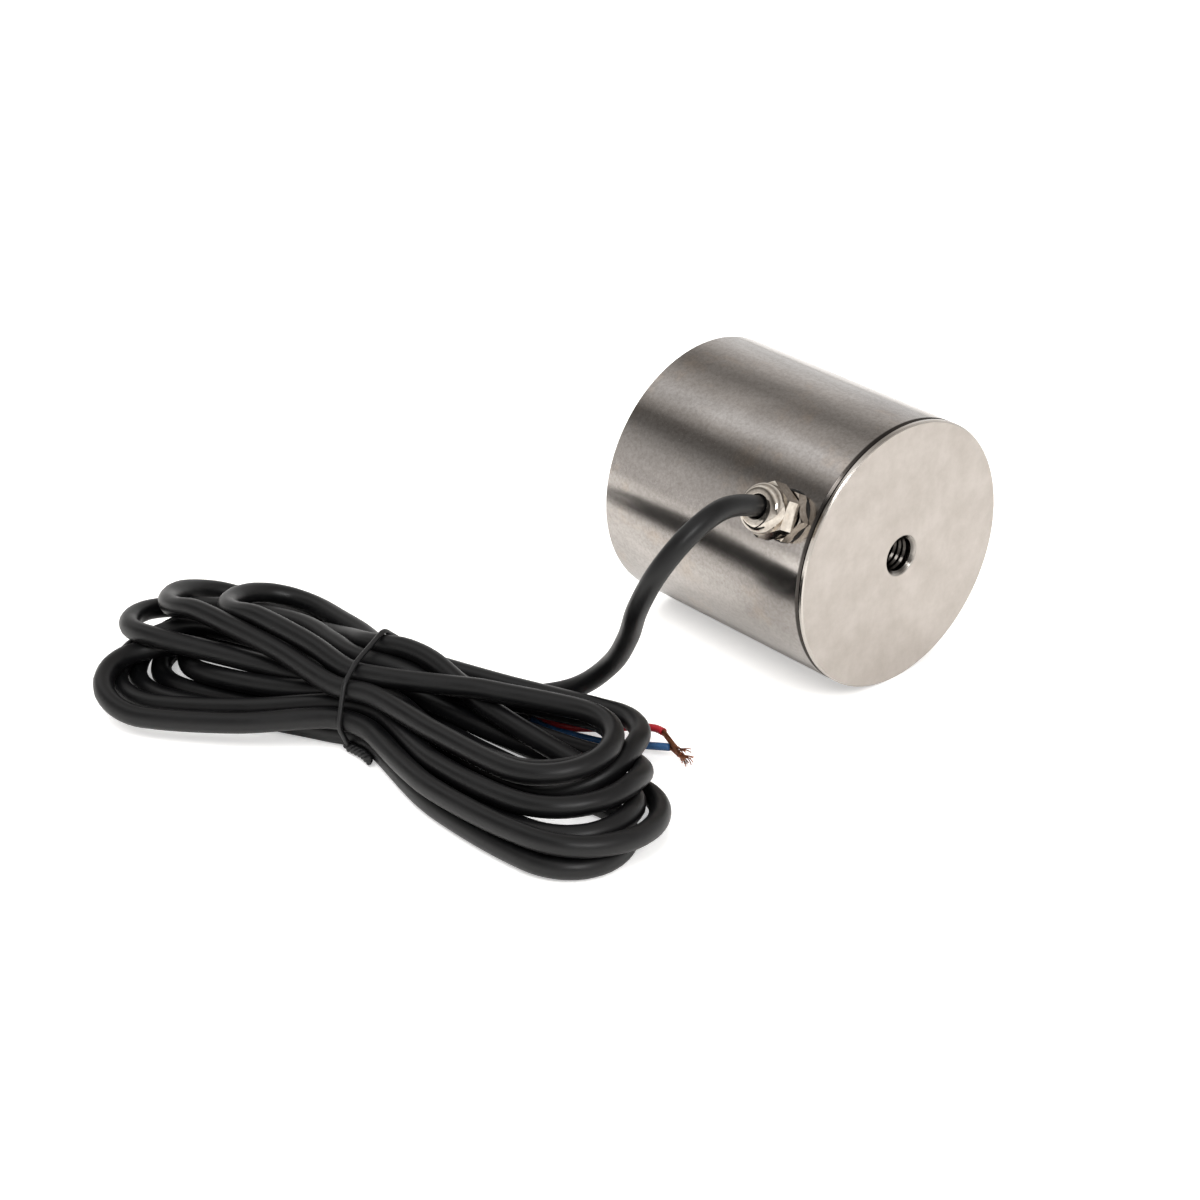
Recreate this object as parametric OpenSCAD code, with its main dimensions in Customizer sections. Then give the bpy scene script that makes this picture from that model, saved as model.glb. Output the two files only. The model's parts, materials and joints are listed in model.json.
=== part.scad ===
// Holding electromagnet lying on its side, with a cable gland and a tied hank of cable.
// The origin is the centre of the mounting face. +X points out of that face along the
// magnet's axis and +Z is up, so the pole face is at -X and the floor is half a body
// diameter below the axis.

/* [Body] */
// Outside diameter of the housing
body_d = 80; // [76:1:100]
// Length from the mounting face to the pole face
body_l = 80; // [70:1:120]
// Wall of the housing tube
tube_wall = 5; // [4:0.5:7]
// Bevel on the outer edges of the housing tube
tube_bevel = 0.6; // [0.2:0.1:1]
// Diameter of the centre pole
core_d = 38; // [30:1:42]

/* [Back plate] */
// Thickness of the plate's rim
rim_t = 1.3; // [1:0.1:1.8]
// Bevel round the front edge of the rim
rim_bevel = 0.5; // [0.2:0.1:0.8]
// Width of the shadow groove behind the rim
groove_w = 0.9; // [0.5:0.1:1.2]
// Depth of the shadow groove
groove_d = 1; // [0.5:0.1:2]
// Length of the plate and its hub together
hub_l = 15; // [12:0.5:17]
// Wall of the hub outside the centre pole
hub_step = 2; // [1:0.5:3]
// Tapping diameter of the mounting thread
thread_d = 10.2; // [8.5:0.1:14]
// Bevel at the mouth of the mounting thread
thread_bevel = 1.1; // [0.5:0.1:1.5]
// Depth of the register between the hub and the centre pole
register_l = 3; // [2:0.5:5]
// Wall of the centre pole round the register
register_wall = 4; // [3:0.5:5]
// Depth of the screw relief below the register
relief_l = 6; // [4:1:12]

/* [Coil] */
// Wall and flange thickness of the coil former
former_t = 1.5; // [1:0.1:2.5]
// Radial gap that the resin fills round the coil
resin_gap = 2.3; // [1:0.1:4]
// Step from the edge of the former's flange down to the wrap
flange_lip = 1.2; // [0.5:0.1:2]
// Thickness of the insulating wrap
wrap_t = 0.8; // [0.4:0.1:1.5]
// Thickness of the resin ring in the pole face
face_t = 6; // [4:0.5:10]
// Depth of the resin ring below the poles
face_recess = 0.3; // [0.1:0.1:1]
// Room between the gland's thread and the coil
chamber_gap = 4; // [3:0.5:8]

/* [Gland] */
// Distance of the gland from the mounting face
gland_x = 12; // [12:0.5:24]
// Angle of the gland above the horizontal
gland_angle = 30; // [0:5:60]
// Width across the flats of both hexagons
gland_af = 14; // [13.5:0.5:17]
// Diameter of the gland's threads
gland_thread_d = 12; // [10.5:0.5:12]
// Length of the thread that goes into the housing
gland_thread_l = 9; // [7:0.5:11]
// Height of the lower hexagon
base_t = 3.8; // [3:0.1:6]
// Gap between the two hexagons
nut_gap = 0.6; // [0.3:0.1:1.5]
// Height of the nut's hexagon
nut_t = 5.6; // [4:0.1:8]
// Height of the dome above the nut's hexagon
dome_t = 4; // [3.2:0.1:6]
// Radius that rounds the dome
dome_round = 2.5; // [1:0.1:2.8]
// Turn of the lower hexagon about the gland's axis
base_turn = 2; // [0:1:60]
// Turn of the nut about the gland's axis
nut_turn = 35; // [0:1:60]
// Depth of the spot face in the housing
seat_depth = 0.8; // [0.4:0.1:1.2]
// Thickness of the sealing washer
gasket_t = 0.9; // [0.5:0.1:1.5]
// Width of the sealing washer's ring
gasket_w = 1.5; // [1:0.1:1.9]
// Bevel on the corners of the hexagons
hex_bevel = 0.6; // [0.3:0.1:1]
// Thickness of the clamping ring
claw_t = 0.5; // [0.4:0.05:0.6]
// Number of slots in the clamping ring
claw_slots = 6; // [3:1:8]

/* [Cable] */
// Outside diameter of the cable
cable_d = 6; // [5:0.1:6.2]
// Outside diameter of each core
wire_d = 2.2; // [1.6:0.1:2.4]
// Diameter of the bare copper of each core
copper_d = 1.4; // [1:0.1:1.5]
// Height of the hank above the floor
hank_h = 20; // [16:1:26]
// Width of the tie along the hank
tie_w = 2; // [1:0.5:4]
// Thickness of the tie
tie_t = 1; // [0.5:0.1:2]

/* [Hidden] */
$fn = 96;

// Clearances: between pieces that fit into each other, round the coil, and round the cable
fit = 0.05;
slide = 0.2;
cable_gap = 0.2;
// Overrun of a cut past the face that it opens
over = 1;

// Housing and back plate
body_r = body_d / 2;
floor_z = -body_r;
bore_r = body_r - tube_wall;
core_r = core_d / 2;
plate_seat = rim_t + groove_w;
spigot_gap = 0.5;
plate_t = gland_x - gland_thread_d / 2 - spigot_gap;
hub_r = core_r + hub_step;
register_r = core_r - register_wall;
relief_r = thread_d / 2 + 1.4;

// Coil, from the wiring chamber to the pole face
coil_start = gland_x + gland_thread_d / 2 + chamber_gap;
coil_end = body_l - face_t;
former_bore_r = core_r + slide;
former_r = former_bore_r + former_t;
flange_r = bore_r - resin_gap;
wrap_r = flange_r - flange_lip;
winding_r = wrap_r - wrap_t;

// Gland, in heights above the magnet's axis
seat_h = body_r - seat_depth;
base_h = seat_h + gasket_t;
base_top = base_h + base_t;
nut_h = base_top + nut_gap;
nut_top = nut_h + nut_t;
mouth_h = nut_top + dome_t;
gland_r = gland_thread_d / 2;
hex_r = gland_af / 2 / cos(30);
gasket_r = gland_r + fit + gasket_w;
cable_r = cable_d / 2;
entry_r = cable_r + cable_gap;
neck_wall = 1.2;
pocket_r = gland_r - neck_wall;
pocket_h = nut_h + 0.6;
neck_top = nut_top - 1;
claw_top = nut_top + 1.4;
claw_slot_w = 0.7;
lip_round = 0.6;

// Wires in the wiring chamber, in the gland's frame
wire_r = wire_d / 2;
wire_side = wire_r + 0.35;
cable_end_h = base_h - gland_thread_l - 2;
wire_bend_r = 3;
wire_start = 0.5;
wire_bend_h = cable_end_h - wire_start;
wire_h = wire_bend_h - wire_bend_r;
splice_floor = gland_x - coil_start;
splice_base = 0.6;
splice_l = 6;
splice_r = wire_side - fit;

// Cable between the gland and the hank: x and y, and the height above the floor
lead_route = [
    [-11, -55, 69.5], [-10.5, -62.5, 69.5], [-10.5, -70, 67.5], [-11.5, -76.5, 63.5],
    [-13.5, -81, 58], [-17, -83.5, 51], [-21, -83, 44], [-25, -81, 37.5],
    [-29.5, -78.5, 31.5], [-34, -76, 25.5], [-38, -75, 19], [-42.5, -76, 12.5],
    [-47.5, -78.5, 7.5], [-53.5, -82.5, 4], [-59.5, -87.5, 3], [-64.5, -93.5, 3]
];
lead_straight = 0.5;
lead_sides = 12;
lead_in = [for (h = [cable_end_h, pocket_h, mouth_h + lead_straight]) gland_point(h)];
lead_points = concat(lead_in, [for (p = lead_route) [p.x, p.y, floor_z + p.z]]);
lead_end = lead_points[len(lead_points) - 1];
lead_last = lead_end - lead_points[len(lead_points) - 2];
lead_turn = atan2(lead_last.y, lead_last.x);

// Hank: its frame lies on the floor at the tie, with x along the hank
hank_at = [-80, -128];
hank_turn = 25;
waist_r = 13;
back_loop = [61.5, -1.5, 26];
front_loop = [78, -26, 24];
left_front_loop = [-62, -11, 21];
left_back_loop = [-66, 14, 20];
shoulder_l = 24;
tie_round = 4;

// Free ends of the two cores, beside a flat place on the side of the hank
wire_sides = 8;
wire_face_at = [-9.3, -82.8];
wire_face_turn = 55;
wire_face_w = 24;
wire_rise = 7;
blue_side = 0;
red_side = 6;
blue_out = 1.5;
red_out = 1;
blue_copper_route = [[4.4, -1.6, 6.6], [6, -3.4, 5.8], [7.6, -5.2, 4.6]];
red_copper_route = [[4, 4, 6.8], [5.8, 1.2, 6.2], [7.4, -1.5, 5.4]];

// Point on the gland's axis at a height above the magnet's axis
function gland_point(h) = [-gland_x, -h * cos(gland_angle), h * sin(gland_angle)];

// Direction of the route at one of its points
function heading(points, i) =
    let (last = len(points) - 1,
         ahead = points[min(i + 1, last)],
         behind = points[i == last ? last - 1 : max(i - 1, 0)],
         step = i == 0 ? points[1] - points[0] : (i == last ? points[last] - behind : ahead - behind))
    step / norm(step);

// Corners of one ring of a tube, square to the route
function ring(centre, along, radius, sides) =
    let (across = cross(along, [1, 0, 0]),
         side = across / norm(across),
         rise = cross(side, along))
    [for (k = [0 : sides - 1])
        let (a = 360 * k / sides)
        centre + radius * (cos(a) * side + sin(a) * rise)];

// Point beside the hank's flat place: out from it, along it, and above the floor
function wire_point(out, along, rise) = [
    wire_face_at.x + out * cos(wire_face_turn) - along * sin(wire_face_turn),
    wire_face_at.y + out * sin(wire_face_turn) + along * cos(wire_face_turn),
    floor_z + rise
];

// Tube of constant radius along a route
module tube(points, radius, sides) {
    count = len(points);
    corners = [
        for (i = [0 : count - 1])
            each ring(points[i], heading(points, i), radius, sides)
    ];
    walls = [
        for (i = [0 : count - 2], k = [0 : sides - 1])
            let (low = i * sides, high = low + sides, next = (k + 1) % sides)
            each [[low + k, low + next, high + next], [low + k, high + next, high + k]]
    ];
    first = [for (k = [sides - 1 : -1 : 0]) k];
    last = [for (k = [0 : sides - 1]) (count - 1) * sides + k];
    polyhedron(corners, concat([first], walls, [last]), convexity = 6);
}

// Turns a shape that stands on the Z axis onto the magnet's axis
module on_magnet_axis() {
    rotate([0, 90, 0]) children();
}

// Places a shape that stands on the Z axis on the gland's axis
module on_gland_axis() {
    translate([-gland_x, 0, 0]) rotate([90 - gland_angle, 0, 0]) children();
}

// Places a flat outline or a solid at the tie, with x along the hank
module at_hank() {
    translate([hank_at.x, hank_at.y, floor_z]) rotate([0, 0, hank_turn]) children();
}

// Hexagonal prism whose corners are bevelled at both ends
module bevelled_hex(low, high, turn) {
    reach = hex_r + over;
    flat = hex_r - hex_bevel;
    intersection() {
        translate([0, 0, low]) rotate([0, 0, turn]) cylinder(r = hex_r, h = high - low, $fn = 6);
        rotate_extrude() polygon([
            [0, low], [flat, low], [reach, low + (reach - flat) / 2],
            [reach, high - (reach - flat) / 2], [flat, high], [0, high]
        ]);
    }
}

// Rectangle with round corners, centred across and standing on the X axis
module round_frame(width, height, radius) {
    translate([-width / 2 + radius, 0]) square([width - 2 * radius, height]);
    translate([-width / 2, radius]) square([width, height - 2 * radius]);
    for (x = [-1, 1], y = [radius, height - radius]) {
        translate([x * (width / 2 - radius), y]) circle(radius);
    }
}

// One core from the cable's end to the joint with the winding
module inner_wire(side) {
    on_gland_axis() {
        translate([0, side, wire_bend_h]) cylinder(r = wire_r, h = wire_start);
        translate([-wire_bend_r, side, wire_bend_h]) rotate([90, 0, 0]) rotate([0, 0, -90])
            rotate_extrude(angle = 90) translate([wire_bend_r, 0]) circle(wire_r);
        translate([splice_floor + splice_base, side, wire_h]) rotate([0, 90, 0])
            cylinder(r = wire_r, h = -wire_bend_r - splice_floor - splice_base);
    }
}

// Sleeve that stands on the coil former and holds the end of a core
module splice_sleeve(side) {
    on_gland_axis() translate([splice_floor, side, wire_h]) rotate([0, 90, 0]) difference() {
        cylinder(r = splice_r, h = splice_l);
        translate([0, 0, splice_base]) cylinder(r = wire_r + fit / 2, h = splice_l);
    }
}

module housing_tube() {
    color("#b9b2aa") difference() {
        on_magnet_axis() rotate_extrude() polygon([
            [bore_r, -body_l], [body_r - tube_bevel, -body_l], [body_r, -body_l + tube_bevel],
            [body_r, -plate_seat - tube_bevel], [body_r - tube_bevel, -plate_seat],
            [bore_r, -plate_seat]
        ]);
        on_gland_axis() {
            cylinder(r = gland_r + fit, h = body_r + over);
            translate([0, 0, seat_h]) cylinder(r = gasket_r + fit, h = seat_depth + over);
        }
    }
}

module back_plate() {
    spigot_r = bore_r - fit;
    groove_r = body_r - groove_d;
    tap_r = thread_d / 2;
    color("#c8bfb4") on_magnet_axis() rotate_extrude() polygon([
        [tap_r, -thread_bevel], [tap_r + thread_bevel, 0], [body_r - rim_bevel, 0],
        [body_r, -rim_bevel], [body_r, -rim_t], [groove_r, -rim_t], [groove_r, -plate_seat],
        [spigot_r, -plate_seat], [spigot_r, -plate_t], [hub_r, -plate_t], [hub_r, -hub_l],
        [register_r - fit, -hub_l], [register_r - fit, -hub_l - register_l],
        [tap_r, -hub_l - register_l]
    ]);
}

module pole_core() {
    register_floor = -hub_l - register_l;
    color("#a9a6a2") on_magnet_axis() rotate_extrude() polygon([
        [0, register_floor - relief_l], [relief_r, register_floor - relief_l],
        [relief_r, register_floor], [register_r, register_floor], [register_r, -hub_l],
        [core_r, -hub_l], [core_r, -body_l + tube_bevel], [core_r - tube_bevel, -body_l],
        [0, -body_l]
    ]);
}

module coil_former() {
    color("#e8e2d2") on_magnet_axis() rotate_extrude() polygon([
        [former_bore_r, -coil_start], [flange_r, -coil_start],
        [flange_r, -coil_start - former_t], [former_r, -coil_start - former_t],
        [former_r, -coil_end + former_t], [flange_r, -coil_end + former_t],
        [flange_r, -coil_end], [former_bore_r, -coil_end]
    ]);
}

module coil_winding() {
    low = -coil_end + former_t;
    high = -coil_start - former_t;
    color("#b06a3b") on_magnet_axis() difference() {
        translate([0, 0, low + fit]) cylinder(r = winding_r, h = high - low - 2 * fit);
        translate([0, 0, low]) cylinder(r = former_r + fit, h = high - low);
    }
}

module coil_wrap() {
    low = -coil_end + former_t;
    high = -coil_start - former_t;
    color("#d8b93c") on_magnet_axis() difference() {
        translate([0, 0, low + fit]) cylinder(r = wrap_r, h = high - low - 2 * fit);
        translate([0, 0, low]) cylinder(r = winding_r + fit, h = high - low);
    }
}

module potting_resin() {
    face = -body_l + face_recess;
    lip = former_t + fit;
    color("#242426") on_magnet_axis() rotate_extrude() polygon([
        [flange_r + fit, -coil_start], [bore_r - fit, -coil_start], [bore_r - fit, face],
        [core_r + fit, face], [core_r + fit, -coil_end - fit], [flange_r + fit, -coil_end - fit],
        [flange_r + fit, -coil_end + lip], [wrap_r + fit, -coil_end + lip],
        [wrap_r + fit, -coil_start - lip], [flange_r + fit, -coil_start - lip]
    ]);
}

module gland_gasket() {
    color("#1c1c1c") on_gland_axis() translate([0, 0, seat_h]) difference() {
        cylinder(r = gasket_r, h = gasket_t);
        translate([0, 0, -over]) cylinder(r = gland_r + fit, h = gasket_t + 2 * over);
    }
}

module gland_body() {
    low = base_h - gland_thread_l;
    color("#d9d2c6") on_gland_axis() difference() {
        union() {
            translate([0, 0, low]) cylinder(r = gland_r, h = neck_top - low);
            bevelled_hex(base_h, base_top, base_turn);
        }
        translate([0, 0, low - over]) cylinder(r = entry_r, h = neck_top - low + 2 * over);
        translate([0, 0, pocket_h]) cylinder(r = pocket_r, h = neck_top);
    }
}

module gland_claw() {
    claw_r = pocket_r - fit;
    slot_h = pocket_h + 2;
    color("#e4e0d6") on_gland_axis() difference() {
        translate([0, 0, pocket_h]) cylinder(r = claw_r, h = claw_top - pocket_h);
        translate([0, 0, pocket_h - over]) cylinder(r = claw_r - claw_t, h = claw_top);
        for (i = [0 : claw_slots - 1]) {
            rotate([0, 0, 360 * i / claw_slots]) translate([0, -claw_slot_w / 2, slot_h])
                cube([gland_r, claw_slot_w, claw_top]);
        }
    }
}

module gland_seal() {
    seal_r = pocket_r - fit - claw_t - fit;
    color("#161616") on_gland_axis() translate([0, 0, pocket_h]) difference() {
        cylinder(r = seal_r, h = claw_top - pocket_h);
        translate([0, 0, -over]) cylinder(r = cable_r, h = claw_top);
    }
}

module gland_nut() {
    dome_r = gland_af / 2;
    dome_side = dome_t - dome_round;
    lip_r = entry_r + lip_round;
    color("#d9d2c6") on_gland_axis() difference() {
        union() {
            bevelled_hex(nut_h, nut_top, nut_turn);
            rotate_extrude() translate([0, nut_top - hex_bevel]) {
                square([dome_r, dome_side + hex_bevel]);
                square([dome_r - dome_round, dome_t + hex_bevel]);
                translate([dome_r - dome_round, dome_side + hex_bevel]) intersection() {
                    circle(dome_round);
                    square(dome_round);
                }
            }
        }
        translate([0, 0, nut_h - over]) cylinder(r = gland_r + fit, h = neck_top + fit - nut_h + over);
        translate([0, 0, nut_h]) cylinder(r = pocket_r, h = claw_top + fit - nut_h);
        translate([0, 0, nut_h]) cylinder(r = entry_r, h = mouth_h);
        rotate_extrude() difference() {
            translate([0, mouth_h - lip_round]) square([lip_r, lip_round + over]);
            translate([lip_r, mouth_h - lip_round]) circle(lip_round);
        }
    }
}

module red_lead_wire() {
    color("#9a1f28") inner_wire(wire_side);
}

module blue_lead_wire() {
    color("#1d3f63") inner_wire(-wire_side);
}

module red_splice() {
    color("#2a2a2c") splice_sleeve(wire_side);
}

module blue_splice() {
    color("#2a2a2c") splice_sleeve(-wire_side);
}

module cable_lead() {
    color("#222224") tube(lead_points, cable_r, lead_sides);
}

// Outline of the hank on the floor: a lobe of loops on each side of the tie
module hank_outline() {
    for (lobe = [[back_loop, front_loop], [left_front_loop, left_back_loop]]) {
        hull() {
            circle(waist_r);
            for (loop = lobe) {
                translate([loop[0], loop[1]]) circle(loop[2]);
            }
        }
    }
}

module cable_hank() {
    color("#222224") difference() {
        union() {
            at_hank() linear_extrude(hank_h) hank_outline();
            translate([lead_end.x, lead_end.y, floor_z]) rotate([0, 0, lead_turn])
                translate([fit, -cable_r, 0]) cube([shoulder_l, cable_d, cable_d]);
        }
        translate([wire_face_at.x, wire_face_at.y, floor_z - over]) rotate([0, 0, wire_face_turn])
            translate([0, -wire_face_w / 2, 0]) cube([wire_face_w, wire_face_w, hank_h + 2 * over]);
        at_hank() translate([-tie_w / 2, 0, 0]) rotate([90, 0, 90]) linear_extrude(tie_w) difference() {
            translate([-body_d, -over]) square([2 * body_d, hank_h + 2 * over]);
            tie_inside();
        }
    }
}

// Section of the hank inside the tie
module tie_inside() {
    translate([0, tie_t]) round_frame(2 * (waist_r - tie_t), hank_h - 2 * tie_t, tie_round - tie_t);
}

module cable_tie() {
    color("#141414") at_hank() translate([-tie_w / 2, 0, 0]) rotate([90, 0, 90])
        linear_extrude(tie_w) difference() {
            round_frame(2 * waist_r, hank_h, tie_round);
            tie_inside();
        }
}

module red_core() {
    color("#9a1f28") tube([for (s = [0, red_out]) wire_point(s, red_side, wire_rise)], wire_r, wire_sides);
}

module blue_core() {
    color("#1d3f63") tube([for (s = [0, blue_out]) wire_point(s, blue_side, wire_rise)], wire_r, wire_sides);
}

// Bare copper from the end of a core, along its route
module copper_end(out, side, route) {
    points = concat(
        [for (s = [0, copper_d]) wire_point(out + s, side, wire_rise)],
        [for (p = route) wire_point(p.x, p.y, p.z)]
    );
    tube(points, copper_d / 2, wire_sides);
}

module red_copper() {
    color("#a06a50") copper_end(red_out, red_side, red_copper_route);
}

module blue_copper() {
    color("#a06a50") copper_end(blue_out, blue_side, blue_copper_route);
}

housing_tube();
back_plate();
pole_core();
coil_former();
coil_winding();
coil_wrap();
potting_resin();
gland_gasket();
gland_body();
gland_claw();
gland_seal();
gland_nut();
red_lead_wire();
blue_lead_wire();
red_splice();
blue_splice();
cable_lead();
cable_hank();
cable_tie();
red_core();
blue_core();
red_copper();
blue_copper();
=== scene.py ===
"""Looks of the holding electromagnet: its finishes, its cable with the tied hank, and the studio round it."""

import json
import logging
import math
from dataclasses import dataclass
from enum import Enum
from typing import Any

import bmesh
import bpy
import numpy as np
from mathutils import Matrix, Vector


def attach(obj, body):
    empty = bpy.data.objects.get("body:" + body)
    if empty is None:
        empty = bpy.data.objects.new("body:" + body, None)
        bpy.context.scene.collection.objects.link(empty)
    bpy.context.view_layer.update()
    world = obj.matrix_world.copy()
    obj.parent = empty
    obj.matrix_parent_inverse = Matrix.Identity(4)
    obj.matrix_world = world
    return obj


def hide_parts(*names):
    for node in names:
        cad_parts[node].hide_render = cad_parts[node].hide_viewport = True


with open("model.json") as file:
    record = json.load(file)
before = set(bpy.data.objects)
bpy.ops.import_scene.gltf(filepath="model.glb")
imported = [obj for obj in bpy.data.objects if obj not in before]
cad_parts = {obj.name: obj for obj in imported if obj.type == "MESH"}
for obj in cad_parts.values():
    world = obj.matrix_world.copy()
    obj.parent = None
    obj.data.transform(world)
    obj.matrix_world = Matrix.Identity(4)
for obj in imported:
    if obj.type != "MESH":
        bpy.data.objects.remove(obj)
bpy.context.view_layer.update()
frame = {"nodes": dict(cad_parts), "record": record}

MM = 0.001
FLOOR_Z = -40.0
ROOT = "root"
LOG = logging.getLogger("electromagnet")

Tree, Node, Socket = bpy.types.NodeTree, bpy.types.Node, bpy.types.NodeSocket
Piece, Material = bpy.types.Object, bpy.types.Material
Pair = tuple[float, float]
Point = tuple[float, float, float]


class Side(Enum):
    """Which way a run of the cable leaves the tie."""

    LEFT = -1
    RIGHT = 1


class Core(Enum):
    """The two conductors of the cable."""

    RED = "red"
    BLUE = "blue"


# ---- colour and node helpers


def linear(code: str) -> tuple[float, float, float, float]:
    """Turn an sRGB hex colour into Blender's linear colour.

    Args:
        code: Six hex digits, with or without the leading hash.

    Returns:
        Red, green, blue and a full alpha.
    """
    code = code.lstrip("#")
    parts = [int(code[i : i + 2], 16) / 255 for i in (0, 2, 4)]
    out = [p / 12.92 if p <= 0.04045 else ((p + 0.055) / 1.055) ** 2.4 for p in parts]
    return out[0], out[1], out[2], 1.0


def add(
    tree: Tree, kind: str, settings: dict[Any, Any] | None = None, links: dict[Any, Socket] | None = None
) -> Node:
    """Add a node to a tree with its settings and links.

    Args:
        tree: The node tree of a material or of the world.
        kind: The node's Blender type name.
        settings: Values by name: a property of the node, or else one of its inputs. A "ramp" entry lists the
            stops of a colour ramp as (place, hex colour).
        links: Output sockets by the name or number of the input they feed.

    Returns:
        The new node.
    """
    node = tree.nodes.new(kind)
    for name, value in (settings or {}).items():
        if name == "ramp":
            stops = node.color_ramp.elements
            while len(stops) < len(value):
                stops.new(0.5)
            for stop, (place, code) in zip(stops, value):
                stop.position = place
                stop.color = linear(code)
        elif isinstance(name, str) and hasattr(node, name):
            setattr(node, name, value)
        else:
            node.inputs[name].default_value = value
    for name, socket in (links or {}).items():
        tree.links.new(socket, node.inputs[name])
    return node


def noise(tree: Tree, vector: Socket, size_mm: float, settings: dict[str, Any]) -> Socket:
    """Add noise of a real size.

    Args:
        tree: The material's node tree.
        vector: The coordinates in metres.
        size_mm: Size of the pattern in millimetres.
        settings: Further values of the noise.

    Returns:
        The noise's value.
    """
    return add(tree, "ShaderNodeTexNoise", {"Scale": 1000 / size_mm, **settings}, {"Vector": vector}).outputs["Fac"]


def ramp(tree: Tree, value: Socket, *stops: tuple[float, str]) -> Socket:
    """Turn a value into a colour.

    Args:
        tree: The node tree.
        value: The value from 0 to 1.
        stops: The colours as (place, hex colour).

    Returns:
        The colour.
    """
    return add(tree, "ShaderNodeValToRGB", {"ramp": stops}, {"Fac": value}).outputs["Color"]


def remap(tree: Tree, value: Socket, span: Pair, out: Pair = (0.0, 1.0)) -> Socket:
    """Map a value from one span to another and hold it at the ends.

    Args:
        tree: The node tree.
        value: The value.
        span: Where it starts and stops.
        out: What these two become.

    Returns:
        The new value.
    """
    settings = {"From Min": span[0], "From Max": span[1], "To Min": out[0], "To Max": out[1]}
    return add(tree, "ShaderNodeMapRange", settings, {"Value": value}).outputs["Result"]


def blend(tree: Tree, share: Socket, colour: Socket, code: str) -> Socket:
    """Blend a colour towards a fixed one.

    Args:
        tree: The material's node tree.
        share: How far to go.
        colour: The colour to start from.
        code: The fixed colour in sRGB hex.

    Returns:
        The blended colour.
    """
    return add(tree, "ShaderNodeMix", {"data_type": "RGBA", 7: linear(code)}, {0: share, 6: colour}).outputs[2]


def relief(tree: Tree, shader: Node, height: Socket, strength: float, depth_mm: float) -> None:
    """Give a shader fine relief.

    Args:
        tree: The material's node tree.
        shader: The shader.
        height: The pattern.
        strength: How strongly it shows.
        depth_mm: Its height in millimetres.
    """
    bump = add(tree, "ShaderNodeBump", {"Strength": strength, "Distance": depth_mm * MM}, {"Height": height})
    tree.links.new(bump.outputs["Normal"], shader.inputs["Normal"])


def deselect() -> None:
    """Deselect every object."""
    bpy.ops.object.select_all(action="DESELECT")


def make_active(piece: Piece) -> None:
    """Select one object alone and make it the active one.

    Args:
        piece: The object.
    """
    deselect()
    piece.select_set(True)
    bpy.context.view_layer.objects.active = piece


def join(pieces: list[Piece], name: str) -> Piece:
    """Join pieces into one.

    Args:
        pieces: The pieces.
        name: The new piece's name.

    Returns:
        The joined piece.
    """
    make_active(pieces[0])
    for piece in pieces[1:]:
        piece.select_set(True)
    bpy.ops.object.join()
    joined = bpy.context.object
    joined.name = name
    return joined


# ---- finishes


@dataclass(frozen=True)
class Finish:
    """A surface finish that makes one Blender material.

    Attributes:
        name: The material's name.
    """

    name: str

    def start(self, settings: dict[str, Any]) -> tuple[Material, Tree, Node, Socket]:
        """Start a node material with one Principled shader.

        Args:
            settings: Constant values for the shader's own sockets.

        Returns:
            The material, its node tree, the shader and the piece's own coordinates.
        """
        material = bpy.data.materials.new(self.name)
        material.use_nodes = True
        tree = material.node_tree
        tree.nodes.clear()
        shader = add(tree, "ShaderNodeBsdfPrincipled", settings)
        add(tree, "ShaderNodeOutputMaterial", None, {"Surface": shader.outputs["BSDF"]})
        return material, tree, shader, add(tree, "ShaderNodeTexCoord").outputs["Object"]

    def make(self) -> Material:
        """Make the material."""
        raise NotImplementedError


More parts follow.
